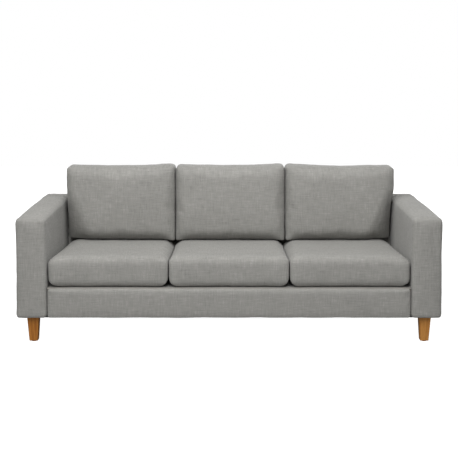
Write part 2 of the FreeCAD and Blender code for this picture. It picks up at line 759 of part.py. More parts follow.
def cushion(name, kind, seat, corners, at, inner_corners, inner_at):
    """A cushion's wrapped cover and its foam core."""
    x, y, z = at
    wide = f"({CUSHION_WIDTH})"
    narrow = f"({wide} - 2 * dims.cushion_wrap)"
    outside = prism(f"{kind}_outside_{name}", "YZ_Plane", corners, wide, (x, y, z))
    rounded(outside, every_edge, "dims.cushion_round")
    inner_x = f"{x} + dims.cushion_wrap"
    core = prism(f"{kind}_core_{name}", "YZ_Plane", inner_corners, narrow, (inner_x, *inner_at))
    rounded(core, every_edge, "dims.cushion_round - dims.cushion_wrap / 2")
    keep(core, f"{kind}_cushion_core_{name}")
    keep(cut(f"{kind}_cover_{name}", outside, core), f"{kind}_cushion_cover_{name}")


def make_seat_cushion(name, seat):
    """Flat underneath, and a little thinner towards the back."""
    wrap = "dims.cushion_wrap"
    depth, front, rear = SEAT_DEPTH, "dims.seat_front", "dims.seat_rear"
    corners = [("0", "0"), (depth, "0"), (depth, rear), ("0", front)]
    inner_depth = f"({depth} - 2 * {wrap})"
    inner_front = f"({front} - {SEAT_SLOPE} * {wrap} - 2 * {wrap})"
    inner_rear = f"({rear} + {SEAT_SLOPE} * {wrap} - 2 * {wrap})"
    inner = [("0", "0"), (inner_depth, "0"), (inner_depth, inner_rear), ("0", inner_front)]
    at = (cushion_left(seat), SEAT_FRONT, SEAT_BOTTOM)
    cushion(name, "seat", seat, corners, at, inner, (f"{SEAT_FRONT} + {wrap}", f"{SEAT_BOTTOM} + {wrap}"))


def make_back_cushion(name, seat):
    """Leans on the inner back. Its foot follows the slope of the seat cushion under it."""
    wrap = "dims.cushion_wrap"
    thick = "dims.back_cushion"
    # The foot's rear edge, found where the seat cushion's top is level with it.
    level = f"({SEAT_BOTTOM} + dims.seat_rear + dims.contact_gap)"
    rear_y = f"({BACK_FOOT} - dims.contact_gap + {RAKE} * ({level} - {DECK_TOP}))"
    front_y = f"({rear_y} - {thick})"
    foot = f"({level} + {SEAT_SLOPE} * ({SEAT_REAR} - {front_y}))"
    sink = f"({SEAT_SLOPE} * {thick})"
    height = f"(dims.overall_height - {foot})"
    lean = f"({RAKE} * {height})"
    corners = outline_of_back_cushion(thick, sink, height, lean)
    at = (cushion_left(seat), front_y, f"{foot} - {sink}")

    inner_thick = f"({thick} - 2 * {wrap})"
    inner_sink = f"({SEAT_SLOPE} * {inner_thick})"
    inner_height = f"({height} - 2 * {wrap})"
    inner_lean = f"({RAKE} * {inner_height})"
    inner = outline_of_back_cushion(inner_thick, inner_sink, inner_height, inner_lean)
    inner_y = f"{front_y} + {wrap} + {RAKE} * {wrap}"
    inner_z = f"{foot} - {sink} + {wrap} + {SEAT_SLOPE} * {wrap}"
    cushion(name, "back", seat, corners, at, inner, (inner_y, inner_z))


def outline_of_back_cushion(thick, sink, height, lean):
    """Front foot, rear foot, rear top and front top. The rear foot is lower than the front one by sink."""
    return [
        ("0", sink),
        (thick, "0"),
        (f"({thick} + {lean})", f"({height} + {sink})"),
        (lean, f"({height} + {sink})"),
    ]


# -------------------------------------------------------------------- output


def check(piece):
    shape = piece.Shape
    if shape.isNull() or not shape.isValid() or not shape.Solids or shape.Volume <= 0:
        raise RuntimeError(f"{piece.Label} has no valid solid")


def write_parts():
    doc.recompute()
    failed = [thing.Name for thing in doc.Objects if {"Invalid", "Error"} & set(thing.State)]
    if failed:
        raise RuntimeError(f"these objects failed: {failed}")
    for piece in pieces:
        check(piece)
    os.makedirs("parts", exist_ok=True)
    for piece in pieces:
        piece.Shape.exportStep(f"parts/{piece.Label}.step")
    print(f"{len(pieces)} sub-parts written")


make_seat_frame()
make_springs()
make_spring_clips()
make_deck()
make_front_rail_covering()
for name, side in SIDES:
    make_arm(name, side)
make_back()
make_inner_back()
make_frame_bolts()
make_legs()
make_leg_fittings()
for name, seat in SEATS:
    make_seat_cushion(name, seat)
    make_back_cushion(name, seat)
write_parts()
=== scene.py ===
"""The looks of a three-seat sofa: grey woven upholstery, loose cushions and stained wooden legs.

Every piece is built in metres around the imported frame. The upholstery starts as rounded boxes that fill
the room of their CAD covers. They are inflated as cloth, pressed back into their room, sewn along their
seams and stitched.
"""

import json
import math
from itertools import groupby

import bmesh
import bpy
import numpy as np
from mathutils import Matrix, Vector


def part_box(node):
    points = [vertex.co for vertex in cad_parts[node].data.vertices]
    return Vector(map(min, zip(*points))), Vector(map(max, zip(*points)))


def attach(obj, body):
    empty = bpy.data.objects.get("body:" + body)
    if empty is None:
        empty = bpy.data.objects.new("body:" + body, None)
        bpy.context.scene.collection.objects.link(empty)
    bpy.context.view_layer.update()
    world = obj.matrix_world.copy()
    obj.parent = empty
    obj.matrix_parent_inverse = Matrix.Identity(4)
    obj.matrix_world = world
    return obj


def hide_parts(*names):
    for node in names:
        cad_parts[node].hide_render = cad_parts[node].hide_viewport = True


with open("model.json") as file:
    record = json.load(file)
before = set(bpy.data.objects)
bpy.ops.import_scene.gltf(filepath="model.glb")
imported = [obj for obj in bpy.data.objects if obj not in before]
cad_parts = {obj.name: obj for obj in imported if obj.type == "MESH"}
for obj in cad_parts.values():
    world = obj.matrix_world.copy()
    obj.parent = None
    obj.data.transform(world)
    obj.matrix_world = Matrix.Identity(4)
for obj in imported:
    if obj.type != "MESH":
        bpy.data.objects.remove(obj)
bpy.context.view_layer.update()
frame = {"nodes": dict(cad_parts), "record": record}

SCENE = bpy.context.scene
MM = 0.001
SIDES = (("left", -1), ("right", 1))
SEATS = ("left", "centre", "right")

# Upholstery, in metres.
OUTER_ROUND = 21 * MM  # outer edges of the arms and the back
TOP_ROUND = 23 * MM  # top edges of the arms and the back
INNER_ROUND = 36 * MM  # inner edges of the arms
RAIL_ROUND = 14 * MM  # edges of the front rail
RAIL_END = 36 * MM  # the rail's padding thins out over this length at either end
RAIL_DROP = 10 * MM  # and falls by this much there
HEM_ROUND = 5 * MM  # where a cover turns under the base
SEAT_ROUND = 35 * MM  # edges of the seat cushions
BACK_ROUND = 33 * MM  # edges of the back cushions
BACK_FOOT = 13 * MM  # lower edges of the back cushions, as seen from the front
CORNER_TOP = {"seat": 12 * MM, "back": 28 * MM}  # upper and lower corners of the cushions' fronts
CORNER_FOOT = {"seat": 52 * MM, "back": 9 * MM}
ARM_CORNER = {"seat": 66 * MM, "back": 9 * MM}  # the lower corners beside the arms
BACK_TUCK = 76 * MM  # the back cushions' front turns under over this height
SEAT_FALL = 29 * MM  # the seat is thinner at its rear by this much
BACK_LEAN = 0.0903  # the back cushions lean back by this much for their height
BACK_THICKNESS = 160 * MM
BACK_BELLY = 8 * MM  # the back cushions' front swells by this much, most at a share of its height
BACK_BELLY_AT = 0.45
SIDE_RELIEF = {"seat": 3 * MM, "back": 6.5 * MM}  # the cushions' sides stand off each other in front
RELIEF_DEPTH = 65 * MM  # as far back as this
# How far a cushion's side reaches past its room beside an arm, and beside another cushion.
SIDE_LIMITS = {"seat": (-1.2 * MM, 0.6 * MM), "back": (-3.5 * MM, 2.2 * MM)}
SEAT_CLIP = 1.6 * MM  # no point of a seat cushion's sides is further out of its room
SEAM_RISE = 15 * MM  # the seat cushions' lower seam above the deck
PANEL_SEAMS = (-0.303, 0.303)  # the seams of the inner back and of the deck, across the sofa

# A seat's top falls at a side by this much in front and at the rear, in mm, over the reach given.
SEAT_SIDE_FALL = (4, 27, 70 * MM)
SEAT_ARM_FALL = (15, 34, 105 * MM)

# A back cushion's front falls away beside an arm by the first number. Its lower corner adds the second.
ARM_WEDGE_REACH = (55, 115)  # in mm
ARM_WEDGE_FALL = (13, 98)
ARM_WEDGE_PULL = 7 * MM  # the lower corner's side draws off the arm by this much
WEDGE_HEIGHT = 0.7  # the lower corner ends at this share of the height
WEDGE_DEPTH = 150 * MM

# How the tops of the back cushions sit: the rise of the left corner, the middle and the right corner.
BACK_TOPS = {
    "left": (0 * MM, 1 * MM, 6 * MM),
    "centre": (2 * MM, 3 * MM, 6 * MM),
    "right": (5 * MM, -1 * MM, -3 * MM),
}

# How far the back cushions sit to the right of their room, by the place across the sofa.
BACK_SHIFT_AT = (-0.91, -0.30, 0.30, 0.91)
BACK_SHIFT = (3 * MM, 7 * MM, 7 * MM, 1 * MM)

# The right back cushion swells over its arm by this much, above a height and beyond a place across.
OVER_ARM = 12 * MM
OVER_ARM_Z, OVER_ARM_X = 0.62, 0.80

# Cloth, seams and stitches.
CELL = 11 * MM  # cells of the cloth
CLOTH_FRAMES = 20
CUSHION_CAP = 16 * MM  # no point of a cushion moves further than about this
FIXED_CAP = 3 * MM  # and none of the fixed upholstery further than this
PRESSURE = {"left": 4.2, "centre": 4.0, "right": 3.7}
SEAM_WIDTH = 2.2 * MM
SEAM_INSET = 4 * MM  # from a rounded edge to its seam
FIXED_SEAM = 1.3 * MM  # depth of the seams on the arms and the back
STITCH = 3.6 * MM
STITCH_PITCH = 5.2 * MM
STITCH_OFFSET = 3.4 * MM  # from a seam to its stitches
THREAD = 0.45 * MM


# ---- mesh building


def axis_steps(lo, hi, cell, edge):
    """Coordinates from lo to hi about a cell apart, with three extra ones within edge of either end."""
    count = max(2, round((hi - lo - 2 * edge) / cell))
    middle = np.linspace(lo + edge, hi - edge, count + 1)
    near = np.array([0.0, 0.33, 0.66]) * edge
    return np.concatenate([lo + near, middle, (hi - near)[::-1]])


def grid_quads(rows, columns):
    """The quads of a grid of points, by the points' numbers in row order."""
    index = np.arange(rows * columns).reshape(rows, columns)
    ring = [index[:-1, :-1], index[1:, :-1], index[1:, 1:], index[:-1, 1:]]
    return np.stack([corner.ravel() for corner in ring], axis=1)


def box_surface(axes):
    """Vertices and quads of the surface of a box cut at the given coordinates along X, Y and Z."""
    points, quads, start = [], [], 0
    for normal in range(3):
        u, v = (normal + 1) % 3, (normal + 2) % 3
        rows, columns = len(axes[u]), len(axes[v])
        faces = grid_quads(rows, columns)
        for end in (0, -1):
            grid = np.empty((rows, columns, 3))
            grid[..., normal] = axes[normal][end]
            grid[..., u] = axes[u][:, None]
            grid[..., v] = axes[v][None, :]
            points.append(grid.reshape(-1, 3))
            quads.append(start + (faces if end else faces[:, ::-1]))
            start += rows * columns
    points = np.concatenate(points)
    kept, index = np.unique(np.round(points, 7), axis=0, return_inverse=True)
    return kept, index.ravel()[np.concatenate(quads)]


def round_off(points, lo, hi, low_radii, high_radii):
    """Rounds the edges of a box. Each side has its own radius, and 0 leaves its edges square."""
    lo, hi, low_radii, high_radii = (np.asarray(v, float) for v in (lo, hi, low_radii, high_radii))
    inner = np.clip(points, lo + low_radii, hi - high_radii)
    away = points - inner
    radii = np.where(away < 0, low_radii, high_radii)
    radii = np.where(radii > 0, radii, 1.0)
    way = away / radii
    length = np.linalg.norm(way, axis=1, keepdims=True)
    scale = np.where(length > 1.0, 1.0 / np.maximum(length, 1e-9), 1.0)
    return inner + way * scale * radii


def mesh_object(name, points, faces, material):
    mesh = bpy.data.meshes.new(name)
    mesh.from_pydata([tuple(p) for p in points], [], [tuple(int(i) for i in f) for f in faces])
    mesh.polygons.foreach_set("use_smooth", [True] * len(mesh.polygons))
    mesh.materials.append(material)
    piece = bpy.data.objects.new(name, mesh)
    SCENE.collection.objects.link(piece)
    return piece


def points_of(piece, kind="co"):
    """The places of a piece's vertices, or their normals where kind is normal."""
    flat = np.empty(len(piece.data.vertices) * 3)
    piece.data.vertices.foreach_get(kind, flat)
    return flat.reshape(-1, 3)


def set_points(piece, points):
    piece.data.vertices.foreach_set("co", np.ascontiguousarray(points, dtype=np.float32).ravel())
    piece.data.update()


def ripple(points, wavelength, seed):
    """A smooth irregular field from about -1 to 1 over points, the sum of waves that run all ways."""
    waves = 14
    chance = np.random.RandomState(seed)
    total = np.zeros(len(points))
    for _ in range(waves):
        way = chance.normal(size=3)
        way *= chance.uniform(0.7, 1.5) / np.linalg.norm(way)
        total += np.sin(points @ way * (2 * math.pi / wavelength) + chance.uniform(0, 2 * math.pi))
    return total / math.sqrt(2 * waves)


def soft_limit(values, limit, softness, above=True):
    """Brings values above a limit back to it, or those below it where above is False, easing in."""
    sign = 1.0 if above else -1.0
    room = sign * (limit - values)
    return limit - sign * softness * np.logaddexp(0.0, room / softness)


def bump(x, centre, width):
    """A smooth hump of height 1."""
    return np.exp(-(((x - centre) / width) ** 2))


# ---- cloth


def inflate(jobs):
    """Runs every job's cloth at once. A job is (piece, pressure, reach, held). No point moves further
    than about reach. Held says how firmly each point is pinned, or is None."""
    before = {}
    for piece, pressure, _, held in jobs:
        before[piece.name] = points_of(piece)
        cloth = piece.modifiers.new("cloth", "CLOTH")
        cloth.settings.quality = 5
        cloth.settings.mass = 0.35
        cloth.settings.tension_stiffness = 25
        cloth.settings.compression_stiffness = 25
        cloth.settings.shear_stiffness = 12
        cloth.settings.bending_stiffness = 1.2
        cloth.settings.use_pressure = True
        cloth.settings.uniform_pressure_force = pressure
        cloth.settings.effector_weights.gravity = 0
        if held is not None:
            group = piece.vertex_groups.new(name="held")
            for index in np.flatnonzero(held > 0):
                group.add([int(index)], float(held[index]), "REPLACE")
            cloth.settings.vertex_group_mass = "held"
    for number in range(1, CLOTH_FRAMES + 1):
        SCENE.frame_set(number)
    graph = bpy.context.evaluated_depsgraph_get()
    found = {}
    for piece, _, reach, _ in jobs:
        move = points_of(piece.evaluated_get(graph)) - before[piece.name]
        length = np.linalg.norm(move, axis=1, keepdims=True)
        found[piece.name] = move * (reach * np.tanh(length / reach) / np.maximum(length, 1e-9))
    for piece, _, _, _ in jobs:
        piece.modifiers.clear()
        piece.vertex_groups.clear()
        set_points(piece, before[piece.name] + found[piece.name])
    SCENE.frame_set(1)


def subdivide(piece):
    """One level of smooth subdivision, applied."""
    piece.modifiers.new("finer", "SUBSURF").levels = 1
    apply_modifiers(piece)


def smooth(piece):
    """Evens out the small puckers that the cloth leaves."""
    modifier = piece.modifiers.new("smooth", "SMOOTH")
    modifier.factor, modifier.iterations = 0.5, 6
    apply_modifiers(piece)


def apply_modifiers(piece):
    """Leaves the piece with its modified mesh and no modifiers."""
    graph = bpy.context.evaluated_depsgraph_get()
    mesh = bpy.data.meshes.new_from_object(piece.evaluated_get(graph))
    piece.modifiers.clear()
    old, piece.data = piece.data, mesh
    bpy.data.meshes.remove(old)


# ---- seams and stitches


def sew(piece, plane, normal, depth, where=None):
    """Pulls the surface in along the line where a plane cuts it, after cutting the mesh finer there.
    Returns the lines as lists of (point, surface normal)."""
    normal = Vector(normal).normalized()
    mesh = bmesh.new()
    mesh.from_mesh(piece.data)
    for offset in (-2.2, -1.0, 0.0, 1.0, 2.2):
        cut_at = Vector(plane) + normal * offset * SEAM_WIDTH
        geometry = mesh.verts[:] + mesh.edges[:] + mesh.faces[:]
        bmesh.ops.bisect_plane(mesh, geom=geometry, dist=1e-5, plane_co=cut_at, plane_no=normal)
    mesh.normal_update()
    seam = [v for v in mesh.verts if abs((v.co - Vector(plane)).dot(normal)) < 2e-5]
    if where:
        seam = [v for v in seam if where(v.co)]
    lines = chains(seam)
    for v in mesh.verts:
        away = (v.co - Vector(plane)).dot(normal)
        if abs(away) < 3 * SEAM_WIDTH and (where is None or where(v.co)):
            inward = v.normal - normal * v.normal.dot(normal)
            v.co -= inward * depth * math.exp(-((away / SEAM_WIDTH) ** 2))
    mesh.normal_update()
    result = [[(v.co.copy(), v.normal.copy()) for v in line] for line in lines]
    mesh.to_mesh(piece.data)
    mesh.free()
    return result


def chains(verts):
    """Sorts vertices into runs along the edges that join them, and closes the runs that go all round.
    The vertices keep the mesh's order, so that the runs start at the same places every time."""
    left = dict.fromkeys(verts)
    runs = []
    while left:
        start = next(iter(left))
        del left[start]
        run = [start]
        for forward in (True, False):
            here = start
            while True:
                steps = [e.other_vert(here) for e in here.link_edges if e.other_vert(here) in left]
                if not steps:
                    break
                here = min(steps, key=lambda v: (v.co - here.co).length)
                del left[here]
                run.insert(len(run) if forward else 0, here)
        if len(run) > 8:
            if len(run) > 20 and (run[0].co - run[-1].co).length < 20 * MM:
                run.append(run[0])
            runs.append(run)
    return runs


def along(line, pitch):
    """Points a pitch apart on a line of (point, normal), with the tangent and the normal at each."""
    travelled = 0.0
    due = pitch / 2
    for (a, na), (b, nb) in zip(line, line[1:]):
        length = (b - a).length
        while length > 1e-9 and travelled + length >= due:
            share = (due - travelled) / length
            yield a.lerp(b, share), (b - a).normalized(), na.lerp(nb, share).normalized()
            due += pitch
        travelled += length


def stitches(
    name, lines, body, offset=STITCH_OFFSET, material=None, length=STITCH, pitch=STITCH_PITCH
):
    """A row of raised threads beside a seam, offset across it on the surface."""
    stations = ((-0.5, 0.25), (-0.32, 0.9), (0.0, 1.0), (0.32, 0.9), (0.5, 0.25))
    points, faces = [], []
    for line in lines:
        for centre, tangent, up in along(line, pitch):
            across = tangent.cross(up).normalized()
            up = across.cross(tangent).normalized()
            base = len(points)
            for reach, girth in stations:
                sink = THREAD * (1.2 * (2 * reach) ** 2 - 0.35)
                middle = centre + tangent * reach * length + across * offset - up * sink
                for corner in range(6):
                    angle = corner * math.pi / 3
                    ring = across * math.cos(angle) + up * math.sin(angle)
                    points.append(middle + ring * THREAD * girth)
            for n in range(len(stations) - 1):
                for corner in range(6):
                    a, b = base + 6 * n + corner, base + 6 * n + (corner + 1) % 6
                    faces.append((a, b, b + 6, a + 6))
            faces.append([base + corner for corner in range(5, -1, -1)])
            faces.append([base + 24 + corner for corner in range(6)])
    piece = mesh_object(name, points, faces, material or THREAD_MATERIAL)
    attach(piece, body)
    return piece


# ---- materials


class Shader:
    """A material's nodes, with short calls for the ones used here."""

    def __init__(self, name):
        self.material = bpy.data.materials.new(name)
        self.material.use_nodes = True
        self.tree = self.material.node_tree
        self.surface = self.tree.nodes["Principled BSDF"]

    def node(self, kind, inputs=(), **settings):
        made = self.tree.nodes.new(kind)
        for key, value in settings.items():
            setattr(made, key, value)
        for key, value in dict(inputs).items():
            self.feed(made.inputs[key], value)
        return made

    def feed(self, socket, value):
        if isinstance(value, bpy.types.NodeSocket):
            self.tree.links.new(value, socket)
        else:
            socket.default_value = value

    def math(self, operation, a, b=0.0):
        return self.node("ShaderNodeMath", {0: a, 1: b}, operation=operation).outputs[0]

    def times(self, a, b):
        return self.math("MULTIPLY", a, b)

    def plus(self, a, b):
        return self.math("ADD", a, b)

    def mix(self, share, a, b):
        """A colour from a to b by share."""
        made = self.node("ShaderNodeMix", {0: share}, data_type="RGBA", clamp_factor=True)
        for key, value in ((6, a), (7, b)):
            self.feed(made.inputs[key], value)
        return made.outputs[2]

    def choose(self, share, off, on):
        """A number from off to on by share."""
        made = self.node("ShaderNodeMix", data_type="FLOAT")
        for key, value in ((0, share), (2, off), (3, on)):
            self.feed(made.inputs[key], value)
        return made.outputs[0]

    def noise(self, vector, scale, detail=3.0, roughness=0.55):
        inputs = {"Vector": vector, "Scale": scale, "Detail": detail, "Roughness": roughness}
        return self.node("ShaderNodeTexNoise", inputs).outputs["Fac"]

    def stretched(self, vector, scale):
        made = self.node("ShaderNodeMapping", {"Vector": vector, "Scale": scale})
        return made.outputs[0]

    def ramp(self, share, low, high):
        inputs = {"Value": share, "From Min": low, "From Max": high}
        return self.node("ShaderNodeMapRange", inputs, interpolation_type="SMOOTHSTEP").outputs[0]

    def object_coordinates(self):
        return self.node("ShaderNodeTexCoord").outputs["Object"]

    def set(self, **values):
        """Values that are the same all over, by the shader's socket names with _ for a space."""
        for key, value in values.items():
            self.surface.inputs[key.replace("_", " ")].default_value = value

    def finish(self, color, roughness, height=None, depth=0.4 * MM, strength=0.6):
        self.feed(self.surface.inputs["Base Color"], color)
        self.feed(self.surface.inputs["Roughness"], roughness)
        if height is not None:
            inputs = {"Height": height, "Distance": depth, "Strength": strength}
            relief = self.node("ShaderNodeBump", inputs)
            self.feed(self.surface.inputs["Normal"], relief.outputs[0])
        return self.material


def flat_on_surface(shader):
    """Coordinates across and up the cloth, by the way it faces, and the place in space, in metres."""
    place = shader.node("ShaderNodeTexCoord")
    facing = shader.node("ShaderNodeSeparateXYZ", {0: place.outputs["Normal"]})
    at = shader.node("ShaderNodeSeparateXYZ", {0: place.outputs["Object"]})
    size = [shader.math("ABSOLUTE", facing.outputs[n]) for n in range(3)]
    sideways = shader.math("GREATER_THAN", size[0], shader.math("MAXIMUM", size[1], size[2]))
    upward = shader.math("GREATER_THAN", size[2], shader.math("MAXIMUM", size[0], size[1]))
    u = shader.choose(sideways, at.outputs[0], at.outputs[1])
    v = shader.choose(upward, at.outputs[2], at.outputs[1])
    return u, v, place.outputs["Object"]


def woven(name, dark, mid, light, thread, contrast, sheen, relief=0.35 * MM):
    """A plain weave of uneven threads, in three tones, with painted shade in the hollows between the
    threads.
    """
    shader = Shader(name)
    u, v, place = flat_on_surface(shader)
    wave_u = shader.math("SINE", shader.times(u, math.pi / thread))
    wave_v = shader.math("SINE", shader.times(v, math.pi / thread))
    over = shader.math("GREATER_THAN", shader.times(wave_u, wave_v), 0.0)
    across_u = shader.math("ABSOLUTE", wave_u)
    across_v = shader.math("ABSOLUTE", wave_v)

    def crown(across, lengthways):
        return shader.times(across, shader.math("MULTIPLY_ADD", lengthways, 0.45))

    height = shader.choose(over, crown(across_v, across_u), crown(across_u, across_v))
    flat = shader.node("ShaderNodeCombineXYZ", {0: u, 1: v}).outputs[0]
    # Slow along a thread and quick across it, once for each way of the cloth.
    warp = shader.noise(shader.stretched(flat, (420.0, 22.0, 1.0)), 1.0, 2.0)
    weft = shader.noise(shader.stretched(flat, (22.0, 420.0, 1.0)), 1.0, 2.0)
    slub_up = shader.noise(shader.stretched(flat, (150.0, 16.0, 1.0)), 1.0, 1.0)
    slub_across = shader.noise(shader.stretched(flat, (16.0, 150.0, 1.0)), 1.0, 1.0)
    thread_tone = shader.choose(over, weft, warp)
    half_up = shader.times(slub_up, 0.5)
    slubs = shader.plus(half_up, shader.times(slub_across, 0.5))
    cloud = shader.noise(place, 5.0, 2.0)
    fleck = shader.noise(place, 900.0, 2.0, 0.7)
    share = 0.5
    for part, weight in ((thread_tone, 0.9), (slubs, 1.0), (fleck, 0.6), (cloud, 0.3)):
        change = shader.times(shader.math("SUBTRACT", part, 0.5), weight * contrast)
        share = shader.plus(change, share)
    low = shader.mix(shader.ramp(share, 0.15, 0.5), dark, mid)
    color = shader.mix(shader.ramp(share, 0.5, 0.85), low, light)
    # Painted shade: where the threads dip into the hollows of the weave, the colour darkens halfway to
    # the dark tone.
    hollow_shade = shader.ramp(height, 0.0, 0.35)
    color = shader.mix(hollow_shade, shader.mix(0.5, color, dark), color)
    relief_height = shader.plus(height, shader.times(slubs, 1.2))
    shader.set(Specular_IOR_Level=0.18, Sheen_Weight=sheen, Sheen_Roughness=0.45)
    rough = shader.plus(0.82, shader.times(fleck, 0.14))
    return shader.finish(color, rough, relief_height, relief, 0.7)


def stained_wood(name, dark, light, length_axis=2, gloss=0.42, scale=1.0):
    """Straight-grained wood with pores, along one axis."""
    shader = Shader(name)
    place = shader.object_coordinates()
    slow, quick = 6.0 * scale, 90.0 * scale
    stretch = [quick] * 3
    stretch[length_axis] = slow
    bend = shader.noise(shader.stretched(place, (9.0, 9.0, 3.0)), 1.0, 2.0)
    shifted = shader.node("ShaderNodeVectorMath", {0: place}, operation="ADD")
    sway = shader.node("ShaderNodeCombineXYZ", {0: shader.times(bend, 0.012)}).outputs[0]
    shader.feed(shifted.inputs[1], sway)
    grain = shader.noise(shader.stretched(shifted.outputs[0], tuple(stretch)), 1.0, 5.0, 0.62)
    pore_stretch = [700.0 * scale] * 3
    pore_stretch[length_axis] = 28.0 * scale
    pores = shader.noise(shader.stretched(place, tuple(pore_stretch)), 1.0, 2.0)
    pore = shader.ramp(pores, 0.62, 0.72)
    color = shader.mix(shader.ramp(grain, 0.32, 0.68), dark, light)
    pore_color = tuple(c * 0.35 for c in dark[:3]) + (1.0,)
    color = shader.mix(shader.times(pore, 0.45), color, pore_color)
    shader.set(Specular_IOR_Level=0.18)
    rough = shader.plus(gloss, shader.times(grain, 0.18))
    height = shader.math("SUBTRACT", grain, shader.times(pore, 0.6))
    return shader.finish(color, rough, height, 0.25 * MM, 0.5)


def speckled(name, color_a, color_b, scale, roughness, metallic=0.0, relief=0.15 * MM, sheen=0.0):
    """An even surface with fine grain, such as felt, foam, board, moulded plastic or plated steel."""
    shader = Shader(name)
    place = shader.object_coordinates()
    fine = shader.noise(place, scale, 4.0, 0.65)
    broad = shader.noise(place, scale * 0.04, 2.0)
    share = shader.plus(shader.times(fine, 0.7), shader.times(broad, 0.3))
    color = shader.mix(shader.ramp(share, 0.3, 0.7), color_a, color_b)
    shader.set(Metallic=metallic, Sheen_Weight=sheen)
    rough = shader.plus(roughness, shader.times(broad, 0.12))
    return shader.finish(color, rough, fine, relief, 0.5)


def tone(red, green, blue):
    """A colour from sRGB shares of 255."""
    shares = [c / 255 for c in (red, green, blue)]
    return tuple(c / 12.92 if c <= 0.04045 else ((c + 0.055) / 1.055) ** 2.4 for c in shares) + (1.0,)


GREY_YARN = tone(110, 109, 106), tone(135, 134, 130), tone(160, 158, 154)
LINING_YARN = tone(88, 87, 85), tone(108, 107, 105), tone(126, 125, 122)
BLACK_FIBRE = tone(18, 18, 19), tone(28, 28, 30), tone(40, 40, 42)
TAPE_YARN = tone(92, 91, 88), tone(112, 111, 108), tone(128, 127, 123)
FABRIC = woven("grey_melange_weave", *GREY_YARN, 1.9 * MM, 0.76, 0.12)
LINING = woven("grey_lining_cloth", *LINING_YARN, 0.9 * MM, 0.6, 0.1)
DUST_CLOTH = woven("black_dust_cloth", *BLACK_FIBRE, 2.6 * MM, 0.5, 0.2)
ZIP_TAPE = woven("zip_tape", *TAPE_YARN, 0.7 * MM, 0.6, 0.15, 0.15 * MM)

LEG_WOOD = stained_wood("honey_stained_wood", tone(140, 86, 33), tone(168, 111, 48))
PALE_LEG_WOOD = stained_wood("honey_stained_wood_pale", tone(158, 104, 48), tone(186, 132, 68))

THREAD_MATERIAL = speckled("grey_sewing_thread", tone(118, 117, 113), tone(146, 144, 140), 2500, 0.7)
ZIP_NYLON = speckled("zip_nylon", tone(96, 95, 92), tone(120, 119, 116), 1800, 0.45)
ZINC = speckled(
    "zinc_plated_steel", tone(168, 168, 166), tone(204, 204, 200), 500, 0.32, 1.0, 0.05 * MM
)

SLOT_MATERIALS = {
    "upholstery": FABRIC,
    "deck_cloth": LINING,
    "dust_cloth": DUST_CLOTH,
    "felt": speckled("needled_felt", tone(110, 106, 100), tone(150, 146, 138), 420, 0.95, sheen=0.3),
    "padding": speckled(
        "white_wadding", tone(214, 214, 208), tone(242, 242, 238), 160, 0.95, sheen=0.4, relief=0.8 * MM
    ),
    "foam": speckled(
        "cream_foam", tone(222, 208, 160), tone(240, 230, 190), 900, 0.9, relief=0.4 * MM
    ),
    "carcass_timber": stained_wood(
        "sawn_softwood", tone(190, 152, 98), tone(222, 190, 138), 0, 0.7, 0.8
    ),
    "hardboard": speckled("brown_hardboard", tone(92, 66, 44), tone(132, 98, 66), 700, 0.75),
    "leg_wood": LEG_WOOD,
    "glide_plastic": speckled("black_glide_plastic", tone(20, 20, 21), tone(34, 34, 35), 1500, 0.5),
    "zinc_steel": ZINC,
    "spring_steel": speckled(
        "oiled_spring_steel", tone(74, 74, 76), tone(112, 112, 112), 400, 0.38, 1.0, 0.05 * MM
    ),
}


def finish_cad_nodes():
    """Gives every CAD node the material of its slot."""
    slots = {part["node"]: part["material_slot"] for part in frame["record"]["subparts"]}
    for name, node in frame["nodes"].items():
        node.data.materials.clear()
        material = SLOT_MATERIALS[slots[name]]
        # The two right legs were cut from paler wood.
        if material is LEG_WOOD and "right" in name:
            material = PALE_LEG_WOOD
        node.data.materials.append(material)


# ---- fixed upholstery


def padded_block(name, lo, hi, low_radii, high_radii):
    """A closed rounded box of cloth cells."""
    edge = max(max(low_radii), max(high_radii), 6 * MM)
    axes = [axis_steps(lo[n], hi[n], CELL, min(edge, (hi[n] - lo[n]) / 3)) for n in range(3)]
    points, quads = box_surface(axes)
    points = round_off(points, lo, hi, low_radii, high_radii)
    return mesh_object(name, points, quads, FABRIC)


def settle(piece, body, fill, *nodes):
    """Says which body a padded piece rides on and which CAD nodes it stands for. Fill, how full it is, is
    not used.
    """
    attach(piece, body)
    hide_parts(*nodes)


def hem(piece, level, wavelength, seed, wave=1.0 * MM):
    """The points of a block drawn in at its foot, where the cover turns under in an uneven fold."""
    points = points_of(piece)
    middle = (points[:, :2].min(0) + points[:, :2].max(0)) / 2
    half = (points[:, :2].max(0) - points[:, :2].min(0)) / 2
    depth = np.clip((level + HEM_ROUND - points[:, 2]) / HEM_ROUND, 0, 1)
    inset = HEM_ROUND * (1 - np.sqrt(1 - depth**2))
    points[:, :2] = middle + (points[:, :2] - middle) * (1 - inset[:, None] / half)
    points[:, 2] += wave * ripple(points, wavelength, seed) * bump(points[:, 2], level, 20 * MM)
    return points


def arm_blocks():
    """The arms' cloth: each block with its name, its side and the corners of its room."""
    blocks = []
    for name, side in SIDES:
        lo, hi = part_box(f"arm_cover_{name}")
        left, right = (INNER_ROUND, OUTER_ROUND) if side > 0 else (OUTER_ROUND, INNER_ROUND)
        block = padded_block(
            f"arm_upholstery_{name}", lo, hi, [left, OUTER_ROUND, 0], [right, 0, TOP_ROUND]
        )
        blocks.append((block, name, side, lo, hi))
    return blocks


def held_near(points, lo, hi, margins):
    """1 on points at the sides whose margin is given, easing to 0 a margin away."""
    held = np.zeros(len(points))
    for axis, (low, high) in enumerate(margins):
        if low:
            held = np.maximum(held, 1 - np.clip((points[:, axis] - lo[axis]) / low, 0, 1))
        if high:
            held = np.maximum(held, 1 - np.clip((hi[axis] - points[:, axis]) / high, 0, 1))
    return held


